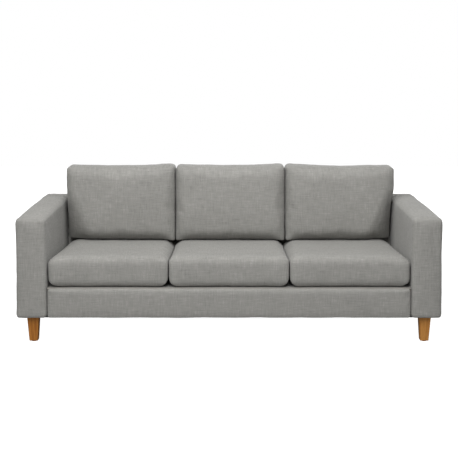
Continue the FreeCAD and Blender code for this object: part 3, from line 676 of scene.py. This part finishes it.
def roughen(piece, seed, amount=0.9 * MM):
    """The small unevenness of cloth over padding."""
    points = points_of(piece)
    wave = 0.65 * ripple(points, 160 * MM, seed) + 0.35 * ripple(points, 45 * MM, seed + 1)
    set_points(piece, points + points_of(piece, "normal") * (wave * amount)[:, None])


def finish_arm(piece, name, side, lo, hi, seed):
    """Turns an arm's cover under at its foot, keeps it off its neighbours, and sews it."""
    points = hem(piece, lo.z, 120 * MM, seed + 5)
    x, y, z = points.T
    inner, outer = (lo.x, hi.x) if side > 0 else (hi.x, lo.x)
    x[:] = soft_limit(x, inner, 0.6 * MM, above=side < 0)
    # In front, the outer side stands 4 mm out at the foot and 3 mm in at the top. The top's outer edge is
    # fullest midway.
    rise = np.clip((z - lo.z) / (hi.z - lo.z), 0, 1)
    outward = np.clip((x - inner) / (outer - inner), 0, 1)
    depth = np.clip((y - lo.y) / (hi.y - lo.y), 0, 1)
    midway = np.sin(math.pi * depth)
    spread = (4 - 7 * rise) * (1 - depth**2) + 4 * midway * rise**6
    x += side * outward**2 * spread * MM
    z += 3 * MM * outward * midway * rise**6
    y[:] = np.minimum(y, hi.y - 0.2 * MM)
    set_points(piece, points)
    subdivide(piece)
    roughen(piece, seed)
    reach = TOP_ROUND + SEAM_INSET
    rim = lo.y + reach
    front = sew(piece, (0, rim, 0), (0, 1, 0), FIXED_SEAM, where=lambda p: p.z > lo.z + 2 * MM)
    stitches(f"arm_front_stitches_{name}", front, "sofa_frame")
    top = sew(piece, (0, 0, hi.z - reach), (0, 0, 1), FIXED_SEAM, where=lambda p: p.y > rim)
    stitches(f"arm_top_stitches_{name}", top, "sofa_frame")
    settle(piece, "sofa_frame", 0.9, f"arm_cover_{name}", f"arm_padding_{name}")


def back_block():
    """The cloth of the back, and the corners of its room."""
    lo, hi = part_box("back_cover")
    low, high = [OUTER_ROUND, 0, 0], [OUTER_ROUND, OUTER_ROUND, TOP_ROUND]
    return padded_block("back_upholstery", lo, hi, low, high), lo, hi


def finish_back(piece, lo, hi):
    """Turns the back's cover under at its foot and sews it."""
    points = hem(piece, lo.z, 150 * MM, 31)
    points[:, 1] = np.maximum(points[:, 1], lo.y)
    set_points(piece, points)
    subdivide(piece)
    roughen(piece, 33)
    reach = TOP_ROUND + SEAM_INSET
    for name, side in SIDES:
        edge = lo.x + reach if side < 0 else hi.x - reach
        seam = sew(piece, (edge, 0, 0), (1, 0, 0), FIXED_SEAM, where=lambda p: p.z > lo.z + 2 * MM)
        stitches(f"back_side_stitches_{name}", seam, "sofa_frame")

    def on_rear(p):
        return abs(p.x) < hi.x - reach and p.y > (lo.y + hi.y) / 2

    seam = sew(piece, (0, 0, hi.z - reach), (0, 0, 1), FIXED_SEAM, where=on_rear)
    stitches("back_top_stitches", seam, "sofa_frame")
    settle(piece, "sofa_frame", 0.9, "back_cover", "back_padding")


def rail_block():
    """The cloth of the rail under the seat, and the corners of its room."""
    lo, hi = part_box("front_rail_cover")
    low, high = [RAIL_ROUND, RAIL_ROUND, 0], [RAIL_ROUND] * 3
    return padded_block("front_rail_upholstery", lo, hi, low, high), lo, hi


def finish_rail(piece, lo, hi):
    """Turns the rail's cover under at its foot, and thins its padding towards the arms."""
    points = hem(piece, lo.z, 170 * MM, 41, 1.1 * MM)
    x, y, z = points.T
    x[:] = np.clip(x, lo.x - 0.5 * MM, hi.x + 0.5 * MM)
    z[:] = soft_limit(z, hi.z, 0.5 * MM)
    near_end = np.clip(1 - (hi.x - abs(x)) / RAIL_END, 0, 1)
    rise = (z - lo.z) / (hi.z - lo.z)
    z -= RAIL_DROP * (1 - np.sqrt(1 - near_end**2)) * np.clip(rise, 0, 1) ** 2
    set_points(piece, points)
    subdivide(piece)
    roughen(piece, 43, 0.7 * MM)
    settle(piece, "sofa_frame", 0.85, "front_rail_cover", "front_rail_padding")


def make_inner_back():
    """The raked pad between the arms that the back cushions lean on."""
    lo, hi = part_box("back_inner_cover")
    lip = 6 * MM  # its thickness at the top
    edges = (6 * MM, 4 * MM, 6 * MM)
    axes = [axis_steps(lo[n], hi[n], CELL, edge) for n, edge in enumerate(edges)]
    points, quads = box_surface(axes)
    rise = (points[:, 2] - lo.z) / (hi.z - lo.z)
    front = lo.y + rise * (hi.y - lip - lo.y)
    share = (points[:, 1] - lo.y) / (hi.y - lo.y)
    inside = np.clip((hi.x - abs(points[:, 0])) / (60 * MM), 0, 1)
    swell = 1.05 * MM * np.sin(math.pi * rise) * inside
    points[:, 1] = front + share * (hi.y - front) - (1 - share) * swell
    piece = mesh_object("inner_back_upholstery", points, quads, FABRIC)
    roughen(piece, 51, 0.25 * MM)
    for n, x in enumerate(PANEL_SEAMS):
        seam = sew(piece, (x, 0, 0), (1, 0, 0), 0.5 * MM, where=lambda p: p.y < hi.y - 3 * MM)
        stitches(f"inner_back_stitches_{n}", seam, "sofa_frame")
    settle(piece, "sofa_frame", 0.9, "back_inner_cover", "back_inner_padding")


def sheet_surface(lo, hi, cell, edge):
    """The surface of a thin level sheet, with cells on its faces only."""
    across, deep = (axis_steps(lo[n], hi[n], cell, edge) for n in (0, 1))
    return box_surface([across, deep, np.array([lo.z, hi.z])])


def make_deck():
    """The lining cloth that the seat cushions lie on, taut over felt and springs."""
    lo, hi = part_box("seat_deck_cloth")
    points, quads = sheet_surface(lo, hi, 15 * MM, 4 * MM)
    inside = np.clip(np.minimum(hi.x - abs(points[:, 0]), points[:, 1] - lo.y) / (40 * MM), 0, 1)
    points[:, 2] -= 0.3 * MM * (1 + ripple(points, 150 * MM, 61)) * inside
    piece = mesh_object("seat_deck_lining", points, quads, LINING)
    for n, x in enumerate(PANEL_SEAMS):
        seam = sew(piece, (x, 0, 0), (1, 0, 0), 0.3 * MM)
        runs = [(top, list(run)) for line in seam for top, run in groupby(line, lambda at: at[1].z > 0.5)]
        upper = [run for top, run in runs if top and len(run) > 2]
        stitches(f"deck_stitches_{n}", upper, "sofa_frame", offset=3.0 * MM)
    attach(piece, "sofa_frame")
    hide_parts("seat_deck_cloth")


def make_dust_cover():
    """The black cloth under the base, with the staples that hold it."""
    lo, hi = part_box("dust_cover")
    points, quads = sheet_surface(lo, hi, 18 * MM, 8 * MM)
    inside = np.minimum(hi.x - abs(points[:, 0]), hi.y - abs(points[:, 1])) / (120 * MM)
    underside = points[:, 2] < hi.z - 0.1 * MM
    points[:, 2] += 0.25 * MM * ripple(points, 60 * MM, 71) * np.clip(inside, 0, 1) * underside
    piece = mesh_object("dust_cover_cloth", points, quads, DUST_CLOTH)
    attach(piece, "sofa_frame")
    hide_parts("dust_cover")
    down = Vector((0, 0, -1))
    x, y = hi.x - 7 * MM, hi.y - 7 * MM
    corners = [Vector((sx * x, sy * y, lo.z)) for sx, sy in ((-1, -1), (1, -1), (1, 1), (-1, 1))]
    lines = [[(a, down), (b, down)] for a, b in zip(corners, corners[1:] + corners[:1])]
    staples = stitches("dust_cover_staples", lines, "sofa_frame", 0.0, ZINC, 11 * MM, 55 * MM)


# ---- cushions


def cushion_block(kind, name):
    """A cushion's cloth in its own upright box, at the place of its CAD cover."""
    lo, hi = (Vector(corner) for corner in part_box(f"{kind}_cushion_cover_{name}"))
    if kind == "back":
        hi.y = lo.y + BACK_THICKNESS
    small = 5 * MM  # the block starts smaller than its room, because it swells
    start_lo = [lo.x + small, lo.y + small, lo.z + 0.5 * MM]
    start_hi = [hi.x - small, hi.y - small, hi.z - small]
    radius, foot = (SEAT_ROUND, SEAT_ROUND) if kind == "seat" else (BACK_ROUND, BACK_FOOT)
    low, high = [radius, radius, foot], [radius] * 3
    piece = padded_block(f"{kind}_cushion_{name}", start_lo, start_hi, low, high)
    return piece, kind, name, lo, hi


def belly(points, lo, hi, amount, peak):
    """Swells the front face of an upright box, most at a share of its height."""
    x, y, z = points.T
    width, height = (hi.x - lo.x) / 2, hi.z - lo.z
    across = np.clip(1 - ((x - (lo.x + hi.x) / 2) / width) ** 4, 0, 1)
    rise = np.clip((z - lo.z) / height, 0, 1)
    below = np.sin(math.pi / 2 * rise / peak)
    above = np.cos(math.pi / 2 * (rise - peak) / (1.15 - peak))
    front = np.clip(1 - (y - lo.y) / (hi.y - lo.y), 0, 1)
    y -= amount * across * np.where(rise < peak, below, above) * front


def shape_seat(points, lo, hi, name):
    """Lowers the top towards the rear and the sides, and keeps it flat under the back cushion."""
    x, y, z = points.T
    height, depth = hi.z - lo.z, hi.y - lo.y
    back = np.clip((y - lo.y) / depth, 0, 1)
    rise = np.clip((z - lo.z) / height, 0, 1.1)
    for side, edge in ((-1, lo.x), (1, hi.x)):
        beside_arm = name == ("left" if side < 0 else "right")
        front_drop, rear_drop, reach = SEAT_ARM_FALL if beside_arm else SEAT_SIDE_FALL
        drop = front_drop + (rear_drop - front_drop) * np.clip(back / 0.75, 0, 1) ** 1.5
        near = np.clip(1 - abs(x - edge) / reach, 0, 1)
        z -= drop * MM * near**2 * rise**2
    z -= rise * SEAT_FALL * back
    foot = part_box("back_cushion_cover_centre")[0].y
    under = np.clip((y - foot + 50 * MM) / (70 * MM), 0, 1)
    crown = 5 * MM - under * 6 * MM
    z[:] = soft_limit(z, hi.z - SEAT_FALL * back + crown, 1.5 * MM)
    y[:] = soft_limit(y, lo.y - 3 * MM, 2 * MM, above=False)


def shape_back(points, lo, hi, name):
    """Swells the front, tucks in its foot between the corners, and leans the cushion back."""
    x, y, z = points.T
    belly(points, lo, hi, BACK_BELLY, BACK_BELLY_AT)
    height = hi.z - lo.z
    across = (x - lo.x) / (hi.x - lo.x)
    rise = np.clip((z - lo.z) / height, 0, 1.1)
    left, middle, right = BACK_TOPS[name]
    lift = left * bump(across, 0.0, 0.22) + middle * bump(across, 0.5, 0.3)
    lift += right * bump(across, 1.0, 0.22)
    z += lift * rise**3
    lower = np.clip(1 - rise / WEDGE_HEIGHT, 0, 1)
    for side, inward, edge in (("left", 1, lo.x), ("right", -1, hi.x)):
        beside_arm = name == side
        reach = (ARM_WEDGE_REACH[0] + ARM_WEDGE_REACH[1] * lower) * MM if beside_arm else 60 * MM
        fall = (ARM_WEDGE_FALL[0] + ARM_WEDGE_FALL[1] * lower) * MM if beside_arm else 4 * MM
        near = np.clip(1 - abs(x - edge) / reach, 0, 1)
        front = np.clip(1 - (y - lo.y) / WEDGE_DEPTH, 0, 1)
        y += fall * near**1.5 * front
        if beside_arm:
            x += inward * ARM_WEDGE_PULL * lower * near**2
    turn = np.clip(1 - (z - lo.z) / BACK_TUCK, 0, 1)
    front = np.clip(1 - (y - lo.y) / (90 * MM), 0, 1)
    corner = bump(x, lo.x, 42 * MM) + bump(x, hi.x, 42 * MM)
    y += (23 * MM * (1 - 0.8 * corner)) * turn**2 * front
    y += BACK_LEAN * (z - lo.z)
    seat_lo, seat_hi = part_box("seat_cushion_cover_centre")
    # The foot follows the seat, which falls towards its rear.
    low = np.clip(1 - (z - lo.z) / (80 * MM), 0, 1)
    z += SEAT_FALL / (seat_hi.y - seat_lo.y) * (hi.y - y) * low
    # The foot's corners hang a little over the seat's falling corners.
    z -= 6 * MM * corner * turn**2 * front
    # All three sit a little to the right, and the right one swells over its arm.
    x += np.interp(x, BACK_SHIFT_AT, BACK_SHIFT)
    over_arm = np.clip((z - OVER_ARM_Z) / (70 * MM), 0, 1)
    x += OVER_ARM * over_arm * np.clip((x - OVER_ARM_X) / (110 * MM), 0, 1)


def fill_room(points, lo, hi, axis, spare):
    """Stretches the points so that the middle of the end faces along an axis reaches the room's ends,
    and the spare beyond them."""
    middle = (lo + hi) / 2
    base = middle[axis]
    face = np.ones(len(points), bool)
    for other in range(3):
        if other != axis:
            face &= abs(points[:, other] - middle[other]) < 0.2 * (hi[other] - lo[other])
    far = points[face][:, axis]
    reach = abs(far[abs(far - base) > 0.4 * (hi[axis] - base)] - base).mean()
    points[:, axis] = base + (points[:, axis] - base) * (hi[axis] + spare - base) / reach


def press_flat(points, kind, name, lo, hi):
    """Fits a cushion to the room that its neighbours leave, and rounds the corners of its front."""
    x, y, z = points.T
    fill_room(points, lo, hi, 0, (2 if kind == "seat" else 7) * MM)
    if kind == "back":
        fill_room(points, lo, hi, 2, 1 * MM)
        z[:] = soft_limit(z, hi.z + 2 * MM, 2 * MM)
    # Its neighbours, the deck or seat below, and the back behind press it flat.
    beside_arm, beside_cushion = SIDE_LIMITS[kind]
    left, right = (beside_arm if name == side else beside_cushion for side, _ in SIDES)
    x[:] = soft_limit(x, hi.x + right, 1.2 * MM)
    x[:] = soft_limit(x, lo.x - left, 1.2 * MM, above=False)
    # They press on each other behind their front edges only.
    off = x - (lo.x + hi.x) / 2
    near_side = (abs(off) / ((hi.x - lo.x) / 2)) ** 8
    front = np.clip(1 - (y - lo.y) / RELIEF_DEPTH, 0, 1)
    x -= np.sign(off) * SIDE_RELIEF[kind] * near_side * front
    y[:] = soft_limit(y, hi.y - 3.5 * MM, 1.5 * MM)
    z[:] = soft_limit(z, lo.z + 0.4 * MM, 1.2 * MM, above=False)
    top, foot = CORNER_TOP[kind], CORNER_FOOT[kind]
    foot_left, foot_right = (ARM_CORNER[kind] if name == side else foot for side, _ in SIDES)
    room_lo, room_hi = (lo.x - left, lo.y, lo.z), (hi.x + right, hi.y, hi.z + 1 * MM)
    above = z > (lo.z + hi.z) / 2
    upper = round_off(points, room_lo, room_hi, [top, 0, 0], [top, 0, top])
    lower = round_off(points, room_lo, room_hi, [foot_left, 0, foot], [foot_right, 0, 0])
    return np.where(above[:, None], upper, lower)


def finish_cushion(piece, kind, name, lo, hi, seed):
    """Turns a cushion's inflated cloth into its final shape, and sews it."""
    is_seat = kind == "seat"
    body = f"{kind}_cushion_{name}"
    smooth(piece)
    points = press_flat(points_of(piece), kind, name, lo, hi)
    (shape_seat if is_seat else shape_back)(points, lo, hi, name)
    set_points(piece, points)
    subdivide(piece)
    roughen(piece, seed, (1.1 if is_seat else 1.5) * MM)
    if is_seat:
        points = points_of(piece)
        points[:, 0] = np.clip(points[:, 0], lo.x - SEAT_CLIP, hi.x + SEAT_CLIP)
        set_points(piece, points)
    lines = sew_seat(piece, lo, hi) if is_seat else sew_back(piece, lo)
    stitches(f"{kind}_cushion_stitches_{name}", lines, body, offset=3.2 * MM)
    nodes = f"{kind}_cushion_cover_{name}", f"{kind}_cushion_core_{name}"
    settle(piece, body, 0.8 if is_seat else 0.65, *nodes)


def sew_seat(piece, lo, hi):
    """A seam round the foot, and one round each side panel."""
    lines = sew(piece, (0, 0, lo.z + SEAM_RISE), (0, 0, 1), 1.8 * MM)
    for x in (lo.x + 7 * MM, hi.x - 7 * MM):
        sew(piece, (x, 0, 0), (1, 0, 0), 1.0 * MM, where=lambda p: p.z > lo.z + SEAM_RISE)
    return lines


def sew_back(piece, lo):
    """A seam round the front panel and one round the rear panel, both on the border between them."""
    lean = Vector((0, 1, -BACK_LEAN)).normalized()
    lines = []
    for reach in (BACK_ROUND, BACK_THICKNESS - BACK_ROUND):
        lines += sew(piece, (0, lo.y + reach, lo.z), lean, 1.6 * MM)
    return lines


def make_zip(kind, name):
    """A zip on the cushion's hidden side: a woven tape, coiled teeth and a slider with its pull."""
    lo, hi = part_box(f"{kind}_cushion_cover_{name}")
    body = f"{kind}_cushion_{name}"
    centre_x = (lo.x + hi.x) / 2
    half = 0.22  # half of its length
    if kind == "seat":
        middle = Vector((centre_x, hi.y - 2.6 * MM, lo.z + 70 * MM))
        out, up = Vector((0, 1, 0)), Vector((0, 0, 1))
    else:
        middle = Vector((centre_x, lo.y + 95 * MM, lo.z + 1.0 * MM))
        out, up = Vector((0, 0, -1)), Vector((0, 1, 0))
    right = Vector((1, 0, 0))
    points, faces = [], []
    columns = 90
    # The tape's outline, across it and out of the cushion, in mm.
    upper = [(-13, 0.0), (-4, 0.35), (0, 0.6), (4, 0.35), (13, 0.0)]
    outline = upper + [(13, -0.5), (0, -0.5), (-13, -0.5)]
    for n in range(columns + 1):
        x = -half + 2 * half * n / columns
        wave = 0.15 * MM * math.sin(n * 0.9)
        for across, lift in outline:
            points.append(middle + right * x + up * across * MM + out * (lift * MM * 0.6 + wave))
    for n in range(columns):
        for k in range(8):
            a, b = 8 * n + k, 8 * n + (k + 1) % 8
            faces.append((a, a + 8, b + 8, b))
    faces += [list(range(8)), list(range(8 * columns + 7, 8 * columns - 1, -1))]
    tape = mesh_object(f"{kind}_zip_tape_{name}", points, faces, ZIP_TAPE)
    fix_normals(tape)
    line = [(middle + right * (x * half) + out * 0.5 * MM, out) for x in (-0.97, 0.97)]
    teeth = stitches(f"{kind}_zip_teeth_{name}", [line], body, 0.0, ZIP_NYLON, 1.5 * MM, 1.9 * MM)
    slider_at = middle + right * half * 0.9 + out * 0.6 * MM
    slider = slider_mesh(f"{kind}_zip_slider_{name}", slider_at, right, up, out)
    for piece in (tape, slider):
        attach(piece, body)


def fix_normals(piece):
    """Turns every face outwards."""
    mesh = bmesh.new()
    mesh.from_mesh(piece.data)
    bmesh.ops.recalc_face_normals(mesh, faces=mesh.faces)
    mesh.to_mesh(piece.data)
    mesh.free()


def slider_mesh(name, at, along_zip, up, out):
    """A small shield-shaped slider with a flat pull."""
    points, faces = [], []
    outline = [(-5, -2.2), (-2, -3.6), (3, -3.2), (5, -1.4), (5, 1.4), (3, 3.2), (-2, 3.6), (-5, 2.2)]
    pull = [(4, -1.4), (8, -2.0), (19, -2.4), (21, -1.2), (21, 1.2), (19, 2.4), (8, 2.0), (4, 1.4)]
    for shape, low, high in ((outline, 0.0, 1.1), (pull, 1.2, 1.7)):
        base = len(points)
        for height, scale in ((low, 0.92), (low + 0.15, 1.0), (high - 0.15, 1.0), (high, 0.92)):
            for a, b in shape:
                points.append(at + along_zip * a * scale * MM + up * b * scale * MM + out * height * MM)
        count = len(shape)
        for ring in range(3):
            for k in range(count):
                a, b = base + ring * count + k, base + ring * count + (k + 1) % count
                faces.append((a, b, b + count, a + count))
        faces.append([base + k for k in range(count - 1, -1, -1)])
        faces.append([base + 3 * count + k for k in range(count)])
    piece = mesh_object(name, points, faces, ZINC)
    fix_normals(piece)
    return piece


# ---- stage


def make_stage():
    """A floor and a backdrop that the camera sees as white, as in the photo, and three soft lights."""
    cells, half_size = 14, 7.0
    steps = np.linspace(-half_size, half_size, cells + 1)
    points = [(x, y, -0.2 * MM) for x in steps for y in steps]
    faces = grid_quads(cells + 1, cells + 1)
    shader = Shader("white_floor")
    cloud = shader.noise(shader.object_coordinates(), 3.0, 2.0)
    shader.set(Emission_Color=(1, 1, 1, 1), Specular_IOR_Level=0.0)
    seen = shader.node("ShaderNodeLightPath").outputs["Is Camera Ray"]
    shader.feed(shader.surface.inputs["Emission Strength"], shader.times(seen, 0.985))
    color = shader.mix(cloud, (0.37, 0.37, 0.37, 1), (0.41, 0.41, 0.41, 1))
    floor = mesh_object("floor", points, faces, shader.finish(color, 0.9))

    world = bpy.data.worlds.new("studio")
    SCENE.world = world
    world.use_nodes = True
    tree = world.node_tree
    tree.nodes["Background"].inputs["Color"].default_value = (1, 1, 1, 1)
    backdrop = tree.nodes.new("ShaderNodeMapRange")
    backdrop.inputs["To Min"].default_value = 0.575
    seen = tree.nodes.new("ShaderNodeLightPath").outputs["Is Camera Ray"]
    tree.links.new(seen, backdrop.inputs["Value"])
    tree.links.new(backdrop.outputs["Result"], tree.nodes["Background"].inputs["Strength"])
    lights = (
        ("key", (-0.7, -3.5, 3.6), (0, 0, 0.4), 3.0, 145),
        ("overhead", (0, -0.9, 2.8), (0, -0.1, 0.4), 2.4, 37),
        ("behind", (0.6, 5.0, 1.6), (0, 0.4, 0.4), 3.0, 75),
    )
    for name, place, target, size, power in lights:
        light = bpy.data.lights.new(name, "AREA")
        light.shape, light.size, light.energy = "DISK", size, power
        lamp = bpy.data.objects.new(name, light)
        lamp.location = place
        lamp.rotation_mode = "QUATERNION"
        lamp.rotation_quaternion = (Vector(target) - Vector(place)).to_track_quat("-Z", "Y")
        SCENE.collection.objects.link(lamp)


def make_camera():
    """The photo's view: 4.8 m in front of the sofa and 1.5 m up, looking down by 6.4 degrees."""
    camera = bpy.data.cameras.new("camera")
    camera.lens, camera.sensor_width = 77.95, 36.0
    camera.shift_x, camera.shift_y = 0.0, -0.15
    eye = bpy.data.objects.new("camera", camera)
    eye.location = (0.0, -5.258, 1.468)
    eye.rotation_euler = (math.radians(90 - 6.43), 0, 0)
    SCENE.collection.objects.link(eye)
    SCENE.camera = eye


def build_upholstery():
    """Makes all the padded pieces that are inflated, and inflates them together."""
    arms = arm_blocks()
    back, back_lo, back_hi = back_block()
    rail, rail_lo, rail_hi = rail_block()
    cushions = [cushion_block(kind, name) for kind in ("seat", "back") for name in SEATS]
    jobs = []
    for piece, _, side, lo, hi in arms:
        inner = (20 * MM, 0) if side > 0 else (0, 20 * MM)
        held = held_near(points_of(piece), lo, hi, (inner, (0, 40 * MM), (30 * MM, 0)))
        jobs.append((piece, 1.2, FIXED_CAP, held))
    held = held_near(points_of(back), back_lo, back_hi, ((0, 0), (20 * MM, 0), (30 * MM, 0)))
    jobs.append((back, 0.8, FIXED_CAP, held))
    held = held_near(points_of(rail), rail_lo, rail_hi, ((0, 0), (0, 30 * MM), (14 * MM, 0)))
    jobs.append((rail, 0.8, FIXED_CAP, held))
    for piece, _, name, _, _ in cushions:
        jobs.append((piece, PRESSURE[name], CUSHION_CAP, None))
    inflate(jobs)
    for n, (piece, name, side, lo, hi) in enumerate(arms):
        finish_arm(piece, name, side, lo, hi, 11 + 7 * n)
    finish_back(back, back_lo, back_hi)
    finish_rail(rail, rail_lo, rail_hi)
    for n, cushion in enumerate(cushions):
        finish_cushion(*cushion, 101 + 13 * n)


SCENE.view_settings.view_transform = "Standard"
make_camera()
make_stage()
finish_cad_nodes()
build_upholstery()
make_inner_back()
make_deck()
make_dust_cover()
for kind in ("seat", "back"):
    for name in SEATS:
        make_zip(kind, name)
